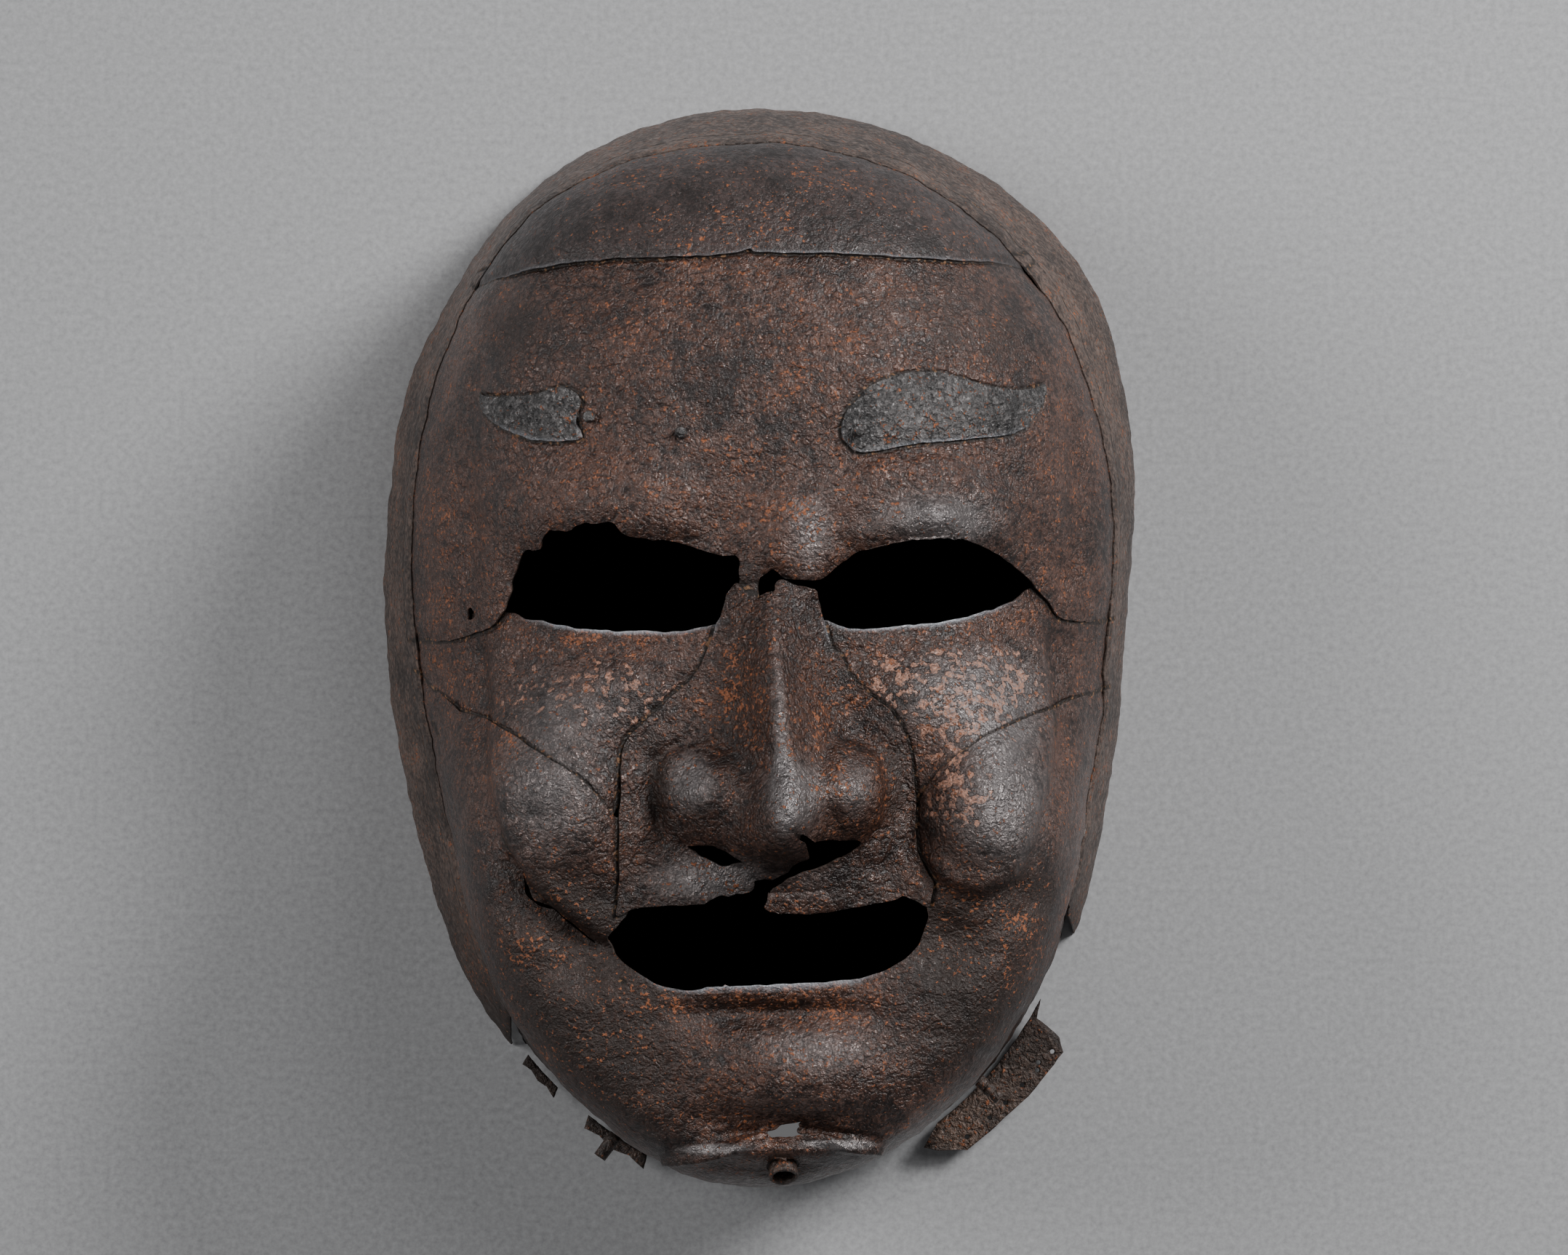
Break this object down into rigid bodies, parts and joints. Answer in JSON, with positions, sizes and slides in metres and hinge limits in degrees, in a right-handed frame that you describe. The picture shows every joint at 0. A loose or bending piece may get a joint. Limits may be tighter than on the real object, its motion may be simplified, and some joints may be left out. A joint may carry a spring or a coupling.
{
  "type": "samurai face guard",
  "caption": "Full-face iron face guard of lapped plates, with eye, nostril and mouth openings, a rim band, brow plates, cord pegs and a laced throat flange.",
  "frame": {"origin": "middle of the bounding box in the plane of the rear rim, where the guard rests with its face up", "axes": "+X to the viewer's right, +Y to the top of the head, +Z out of the face"},
  "size_m": [0.1723, 0.2461, 0.1186],
  "materials": {
    "face_iron": "dark brown rusted iron, semi-gloss, orange rust specks",
    "crown_iron": "dark blue-grey brown iron, satin",
    "band_iron": "smooth grey-brown iron with lengthwise streaks",
    "trim_iron": "blue-grey iron, satin"
  },
  "bodies": {
    "root": {"crown_plate": "crown_iron", "forehead_plate": "face_iron", "cheek_plate_left": "face_iron", "cheek_plate_right": "face_iron", "nose_plate": "face_iron", "jaw_plate": "face_iron", "rim_band": "band_iron", "brow_plate_left": "trim_iron", "brow_plate_right": "trim_iron", "brow_rivet_left": "trim_iron", "brow_rivet_middle": "trim_iron", "brow_rivet_right": "trim_iron", "sweat_ring": "trim_iron", "cord_peg_left": "trim_iron", "cord_peg_right": "trim_iron", "throat_flange_right": "face_iron", "throat_flange_stub_left": "face_iron", "throat_flange_stub_side": "face_iron"}
  },
  "joints": []
}
